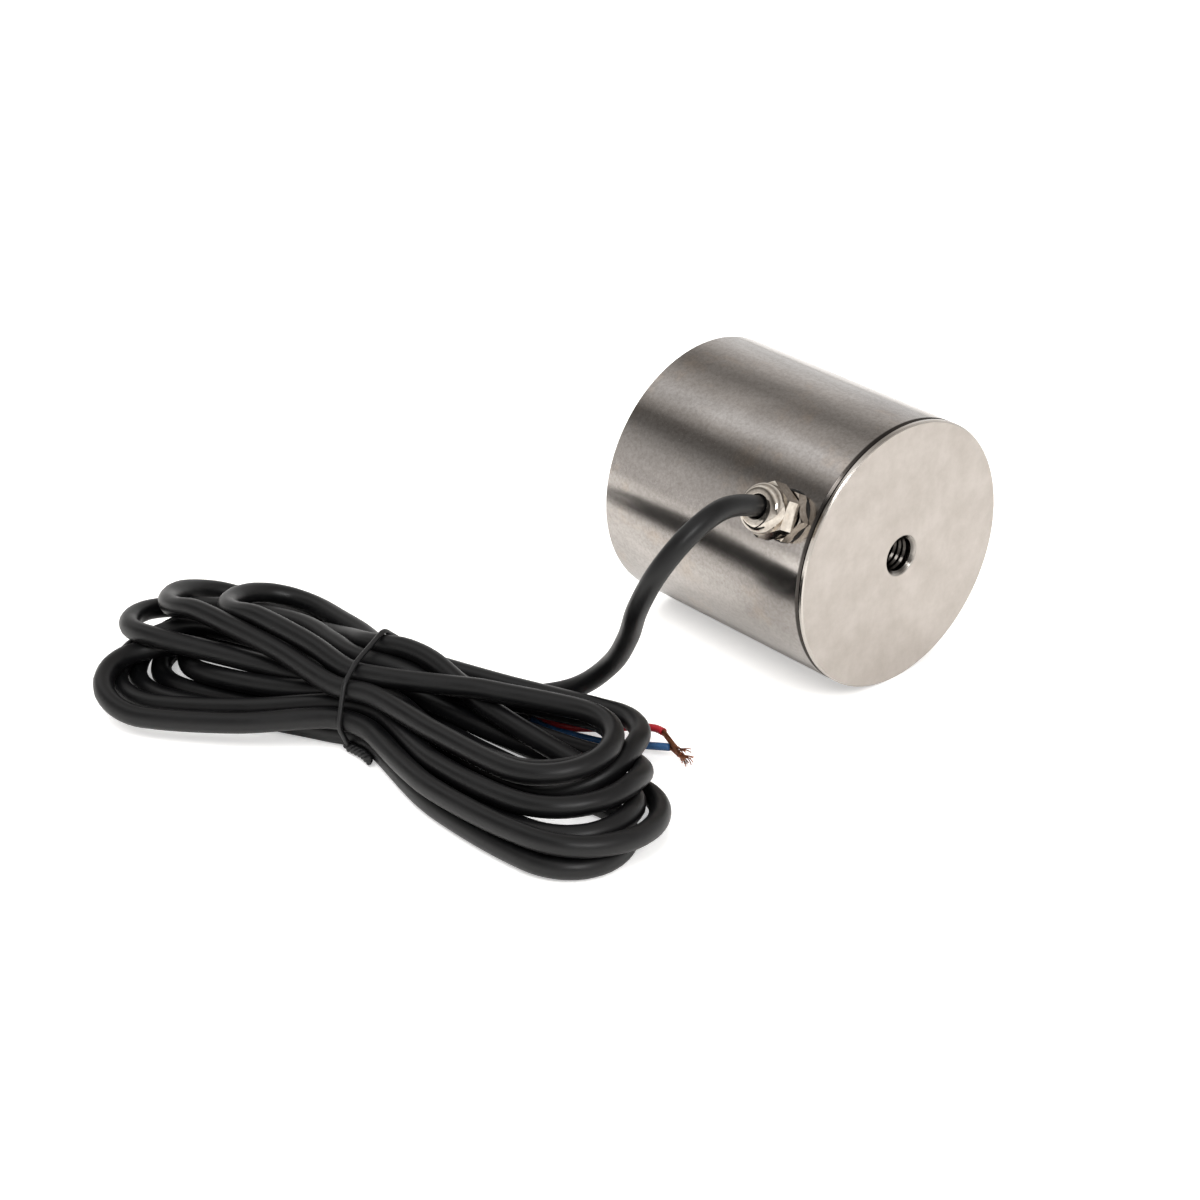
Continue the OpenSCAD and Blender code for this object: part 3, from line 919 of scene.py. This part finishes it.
@dataclass
class CoreEnds:
    """The two stripped cores at the cable's free end, with their twisted and frayed copper.

    Attributes:
        width: Outer diameter of a core.
        routes: Listed points of each core in the hank's own directions.
        twist: Points of each bare end, from the insulation to the tip.
        strand_width: Diameter of one copper strand.
        strands: How many strands a core has.
        fade_mm: Length over which a core leaves the settled end of the sheath for its own route.
        turn: How far the strands turn along the bare end, in radians.
        bundle: Radius of the twisted strands.
        flare: How far they spread at the tip.
        frayed_from: Where along the bare end they start to spread.
        seeds: Seeds of the strands' chance.
    """

    width: float = 2.2
    routes: tuple[tuple[Core, tuple[Point, ...]], ...] = (
        (
            Core.RED,
            (
                (37.0, 14.7, 5.4), (40.4, 14.4, 5.2), (45.0, 13.8, 4.4), (50.0, 13.4, 4.2), (55.0, 14.2, 4.2),
                (60.0, 16.6, 4.2), (66.0, 20.0, 4.2), (72.0, 22.4, 4.4), (76.0, 22.6, 4.8), (79.2, 21.0, 5.2),
            ),
        ),
        (
            Core.BLUE,
            (
                (37.0, 14.2, 3.2), (40.4, 13.6, 3.2), (46.0, 12.8, 2.8), (52.0, 12.4, 2.8), (58.0, 12.6, 2.8),
                (64.0, 13.2, 2.8), (69.0, 14.2, 2.8), (74.0, 15.4, 3.0), (78.5, 16.6, 3.0), (82.4, 17.6, 3.0),
            ),
        ),
    )
    twist: tuple[tuple[Core, tuple[Point, ...]], ...] = (
        (Core.RED, ((78.4, 21.6, 5.5), (80.4, 19.6, 5.2), (82.6, 17.8, 4.6), (85.4, 16.0, 3.6), (88.6, 14.3, 3.0))),
        (Core.BLUE, ((81.6, 17.5, 3.1), (83.2, 17.2, 3.0), (85.2, 15.8, 3.0), (88.0, 13.8, 3.0), (90.6, 11.8, 3.0))),
    )
    strand_width: float = 0.32
    strands: int = 13
    fade_mm: float = 25.0
    turn: float = 5.0
    bundle: float = 0.6
    flare: float = 2.4
    frayed_from: float = 0.6
    seeds: tuple[tuple[Core, int], ...] = ((Core.RED, 7), (Core.BLUE, 11))

    def build(self, cable: Cable, settled: np.ndarray, finishes: Finishes) -> None:
        """Make both cores and their copper.

        Args:
            cable: The cable, for its directions.
            settled: Its settled points; the cores start at the last one.
            finishes: The object's materials.
        """
        moved = settled[-1] - np.array(cable.tail[-1])
        for core, hand_placed in self.routes:
            slot = f"{core.value}_pvc"
            points = np.array(hand_placed)
            fade = np.clip(1.0 - (points[:, 0] - cable.tail[-1][0]) / self.fade_mm, 0.0, 1.0)
            points += fade[:, None] * moved
            centre = even_steps(curve_through(cable.to_floor(points), 8), 1.0)
            wire = sweep(f"{core.value}_core_wire", centre, self.width / 2, 14)
            finishes.dress(wire, slot)
            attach(wire, ROOT)
            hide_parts(f"{core.value}_core")
            copper = self.fray(core, cable, finishes)
            LOG.info("%s core: %.0f mm", core.value, run_length(centre))

    def fray(self, core: Core, cable: Cable, finishes: Finishes) -> Piece:
        """Make the strands of one bare end, twisted at first and spread at the tip.

        Args:
            core: Which core they belong to.
            cable: The cable, for its directions.
            finishes: The object's materials.

        Returns:
            All strands of the end as one piece.
        """
        chance = np.random.default_rng(dict(self.seeds)[core])
        line = even_steps(curve_through(cable.to_floor(dict(self.twist)[core]), 8), 0.5)
        count = len(line)
        share = np.linspace(0.0, 1.0, count)
        frayed = np.clip((share - self.frayed_from) / (1 - self.frayed_from), 0.0, 1.0) ** 1.6
        across, upward = across_and_up(line)
        strands = []
        for strand in range(self.strands):
            turn = 2 * math.pi * strand / self.strands + self.turn * share
            spread = self.bundle + self.flare * chance.uniform(0.3, 1.0) * frayed
            spread = spread * (0.25 if strand == 0 else 1.0)
            path = line + across * (spread * np.cos(turn))[:, None] + upward * (spread * np.sin(turn))[:, None]
            stop = int(count * chance.uniform(0.86, 1.0))
            path[:, 2] = np.maximum(path[:, 2], FLOOR_Z + 0.2)
            strands.append(sweep(f"{core.value}_strand", path[:stop], self.strand_width / 2, 6))
        copper = join(strands, f"{core.value}_copper_strands")
        finishes.dress(copper, "copper")
        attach(copper, ROOT)
        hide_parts(f"{core.value}_copper")
        return copper


@dataclass
class Tie:
    """The thin plastic-covered wire that holds the hank, with its twisted ends.

    Attributes:
        width: Diameter of the covered wire.
        skew: How far the loop leans along the hank for each millimetre across and up.
        tail_points: The twisted ends in the hank's own directions, from the lower front of the loop.
        twist_mm: Length of one turn of the twist.
        steps: How many directions the loop is worked out in.
        middle: Height at which the loop doesn't lean.
        least_mm: Least distance between two points of the loop.
        end_step: Distance between two points of the twisted ends.
    """

    width: float = 1.5
    skew: Pair = (0.06, -0.12)
    tail_points: tuple[Point, ...] = (
        (-1.0, -0.3, 0.9), (2.5, -1.8, 1.2), (5.5, -3.2, 1.4), (8.5, -5.2, 1.2),
    )
    twist_mm: float = 3.2
    steps: int = 72
    middle: float = 10.0
    least_mm: float = 0.6
    end_step: float = 0.4

    def build(self, cable: Cable, settled: np.ndarray, finishes: Finishes) -> None:
        """Make the loop round the runs of cable and its twisted ends.

        Args:
            cable: The cable, for its directions.
            settled: Its settled points in the hank's own directions.
            finishes: The object's materials.
        """
        crossing = []
        for a, b in zip(settled, settled[1:]):
            if (a[0] < 0.0) != (b[0] < 0.0):
                share = a[0] / (a[0] - b[0])
                crossing.append((a + share * (b - a))[1:])
        runs = np.array(crossing)
        outer = (cable.width + self.width) / 2
        loop = []
        for step in range(self.steps):
            turn = 2 * math.pi * step / self.steps
            normal = np.array([math.cos(turn), math.sin(turn)])
            across, height = runs[np.argmax(runs @ normal)] + outer * normal
            along = self.skew[0] * across + self.skew[1] * (height - self.middle)
            loop.append((along, across, max(height, self.width / 2)))
        points = cable.to_floor(loop)
        keep = [0]
        for i in range(1, len(points)):
            if np.linalg.norm(points[i] - points[keep[-1]]) > self.least_mm:
                keep.append(i)
        ring = even_steps(np.vstack([points[keep], points[:1]]), 1.0)[:-1]
        ends = [sweep("tie_loop", ring, self.width / 2, 10, True)]
        low = np.array(min(loop, key=lambda point: point[1] + point[2]))
        line = even_steps(curve_through(cable.to_floor(low + np.array(self.tail_points)), 8), self.end_step)
        across, upward = across_and_up(line)
        turn = 2 * math.pi * np.arange(len(line)) * self.end_step / self.twist_mm
        for phase in (0.0, math.pi):
            offset = across * np.cos(turn + phase)[:, None] + upward * np.sin(turn + phase)[:, None]
            ends.append(sweep("tie_end", line + offset * self.width * 0.5, self.width / 2, 8))
        tie = join(ends, "wire_tie")
        finishes.dress(tie, "tie_plastic")
        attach(tie, ROOT)
        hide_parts("cable_tie")
        LOG.info("tie round %d runs", len(runs))


# ---- the magnet


@dataclass
class Magnet:
    """The magnet's body with its gland: finishes on the CAD nodes, and the thread in the mounting hole.

    Attributes:
        bore: Radius of the tapping bore.
        pitch: Pitch of the mounting thread.
        depth: Depth of the threaded length.
        ridge: Height of the thread's ridges.
        flank: Half the width of a ridge at its foot, in pitches.
        crest: Half its width at the top.
        foot: How far its foot reaches into the wall.
        start: Where the first ridge starts inside the bore, along the magnet's axis.
        steps: How many steps a turn takes.
    """

    bore: float = 5.1
    pitch: float = 1.75
    depth: float = 16.0
    ridge: float = 0.45
    flank: float = 0.42
    crest: float = 0.12
    foot: float = 0.05
    start: float = -1.6
    steps: int = 48

    def dress(self, finishes: Finishes) -> None:
        """Give every CAD node the finish of its slot."""
        for part in frame["record"]["subparts"]:
            finishes.dress(frame["nodes"][part["node"]], part["material_slot"])

    def thread(self, finishes: Finishes) -> None:
        """Make the ridges of the mounting thread on the wall of the bore.

        Args:
            finishes: The object's materials.
        """
        deselect()
        bpy.ops.mesh.primitive_plane_add(size=1.0)
        thread = bpy.context.object
        thread.name = "mount_thread"
        half = self.pitch * self.flank
        profile = ((-half, self.foot), (-self.crest, -self.ridge), (half, self.foot), (self.crest, -self.ridge))
        for vertex, (along, inward) in zip(thread.data.vertices, profile):
            vertex.co = Vector(((self.start - half + along) * MM, 0.0, (self.bore + inward) * MM))
        screw = thread.modifiers.new("turns", "SCREW")
        screw.axis = "X"
        screw.steps = self.steps
        screw.render_steps = self.steps
        screw.iterations = round(self.depth / self.pitch) - 1
        screw.screw_offset = -self.pitch * MM
        screw.use_normal_calculate = True
        bpy.ops.object.modifier_apply(modifier="turns")
        bpy.ops.object.mode_set(mode="EDIT")
        bpy.ops.mesh.select_all(action="SELECT")
        bpy.ops.mesh.remove_doubles(threshold=0.001 * MM)
        bpy.ops.mesh.normals_make_consistent(inside=False)
        bpy.ops.object.mode_set(mode="OBJECT")
        bpy.ops.object.shade_smooth_by_angle(angle=math.radians(35))
        # The ground steel's painted shade darkens these ridges deep in the hole.
        finishes.dress(thread, "satin_steel")
        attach(thread, ROOT)
        LOG.info("thread: %d faces", len(thread.data.polygons))


# ---- the studio


@dataclass
class Studio:
    """Camera, floor, lamps and background.

    Attributes:
        camera_at: The camera's place in millimetres.
        right: The picture's direction to the right.
        upward: The picture's upward direction.
        lens: Focal length for a 36 mm sensor.
        floor_size: Side of the floor in metres.
        aim: Where the lamps point, in metres.
        zones: Light and dark zones of the room from low in front, over the top, to low behind.
    """

    camera_at: Point = (464.1, -538.7, 371.6)
    right: Point = (0.67430, 0.73846, 0.0)
    upward: Point = (-0.35417, 0.32339, 0.87750)
    lens: float = 84.98
    floor_size: float = 6.0
    aim: Point = (-0.06, -0.06, 0.0)
    zones: tuple[tuple[float, str], ...] = (
        (0.0, "#fbf9f7"), (0.05, "#fbf9f7"), (0.117, "#e2e0de"), (0.183, "#b8b6b4"), (0.25, "#787674"),
        (0.31, "#6e6b68"), (0.38, "#d8d5d2"), (0.42, "#ffffff"), (0.47, "#ffffff"), (0.52, "#dcd9d6"),
        (0.6, "#b4b1ae"), (0.65, "#989592"), (0.72, "#aaa7a4"), (0.8, "#d6d3d0"), (0.9, "#f4f3f2"),
        (1.0, "#fafafa"),
    )

    def camera(self) -> None:
        """Place the camera at the photograph's viewpoint."""
        right = Vector(self.right).normalized()
        upward = Vector(self.upward).normalized()
        back = right.cross(upward)
        data = bpy.data.cameras.new("camera")
        data.lens = self.lens
        data.sensor_width = 36.0
        data.clip_start = 0.01
        eye = bpy.data.objects.new("camera", data)
        pose = Matrix((right, upward, back)).transposed().to_4x4()
        pose.translation = Vector(self.camera_at) * MM
        eye.matrix_world = pose
        bpy.context.collection.objects.link(eye)
        bpy.context.scene.camera = eye

    def floor(self) -> None:
        """Lay a pale floor that stays white in the picture and keeps the shadow."""
        deselect()
        bpy.ops.mesh.primitive_plane_add(size=self.floor_size, location=(0.0, 0.0, FLOOR_Z * MM))
        sheet = bpy.context.object
        sheet.name = "floor"
        bpy.ops.object.transform_apply(location=True)
        material = bpy.data.materials.new("white_paper")
        material.use_nodes = True
        tree = material.node_tree
        tree.nodes.clear()
        paper = add(tree, "ShaderNodeBsdfDiffuse", {"Color": linear("#f4f3f1")})
        glow = add(tree, "ShaderNodeEmission", {"Color": linear("#ffffff"), "Strength": 0.42})
        ray = add(tree, "ShaderNodeLightPath")
        lifted = add(tree, "ShaderNodeAddShader", None, {0: paper.outputs["BSDF"], 1: glow.outputs["Emission"]})
        mix = add(
            tree, "ShaderNodeMixShader", None,
            {0: ray.outputs["Is Camera Ray"], 1: paper.outputs["BSDF"], 2: lifted.outputs["Shader"]},
        )
        add(tree, "ShaderNodeOutputMaterial", None, {"Surface": mix.outputs["Shader"]})
        sheet.data.materials.append(material)

    def lamp(self, name: str, at: Point, size: Pair, power: float, seen: bool = False) -> None:
        """Hang one soft rectangular lamp that points at the magnet.

        Args:
            name: The lamp's name.
            at: Its place in metres.
            size: Width and height of its face in metres.
            power: Its power in watts.
            seen: Whether it shows in reflections.
        """
        data = bpy.data.lights.new(name, "AREA")
        data.shape = "RECTANGLE"
        data.size, data.size_y = size
        data.energy = power
        light = bpy.data.objects.new(name, data)
        light.location = at
        light.visible_glossy = seen
        light.rotation_euler = (Vector(self.aim) - Vector(at)).to_track_quat("-Z", "Y").to_euler()
        bpy.context.collection.objects.link(light)

    def world(self) -> None:
        """Make the background white to the camera and a soft grey room to the metal."""
        world = bpy.data.worlds.new("room")
        bpy.context.scene.world = world
        world.use_nodes = True
        tree = world.node_tree
        tree.nodes.clear()
        ray = add(tree, "ShaderNodeLightPath")
        white = add(tree, "ShaderNodeBackground", {"Color": linear("#ffffff"), "Strength": 1.0})
        place = add(tree, "ShaderNodeTexCoord")
        parts = add(tree, "ShaderNodeSeparateXYZ", None, {"Vector": place.outputs["Generated"]})
        round_axis = add(
            tree, "ShaderNodeMath", {"operation": "ARCTAN2"}, {0: parts.outputs["Z"], 1: parts.outputs["Y"]}
        )
        share = remap(tree, round_axis.outputs["Value"], (0.0, math.pi), (1.0, 0.0))
        room = add(tree, "ShaderNodeBackground", {"Strength": 1.0}, {"Color": ramp(tree, share, *self.zones)})
        mix = add(
            tree, "ShaderNodeMixShader", None,
            {0: ray.outputs["Is Camera Ray"], 1: room.outputs["Background"], 2: white.outputs["Background"]},
        )
        add(tree, "ShaderNodeOutputWorld", None, {"Surface": mix.outputs["Shader"]})

    def build(self) -> None:
        """Set up the whole studio."""
        self.camera()
        self.floor()
        self.lamp("key_lamp", (0.1, -0.9, 1.3), (1.2, 0.8), 16.0)
        self.lamp("back_lamp", (-0.9, 0.6, 1.1), (1.0, 0.8), 9.0)
        self.lamp("side_lamp", (1.1, 0.3, 0.8), (0.7, 0.9), 5.0)
        self.lamp("small_lamp", (0.95, -0.45, 0.95), (0.45, 0.45), 5.0, seen=True)
        self.world()
        bpy.context.scene.view_settings.view_transform = "Standard"


def main() -> None:
    """Build the studio and every piece, and report them."""
    logging.basicConfig(level=logging.INFO, format="%(name)s: %(message)s")
    Studio().build()
    finishes = Finishes()
    cable = Cable()
    settled = cable.build(finishes)
    CoreEnds().build(cable, settled, finishes)
    Tie().build(cable, settled, finishes)
    magnet = Magnet()
    magnet.dress(finishes)
    magnet.thread(finishes)


if __name__ == "__main__":
    main()
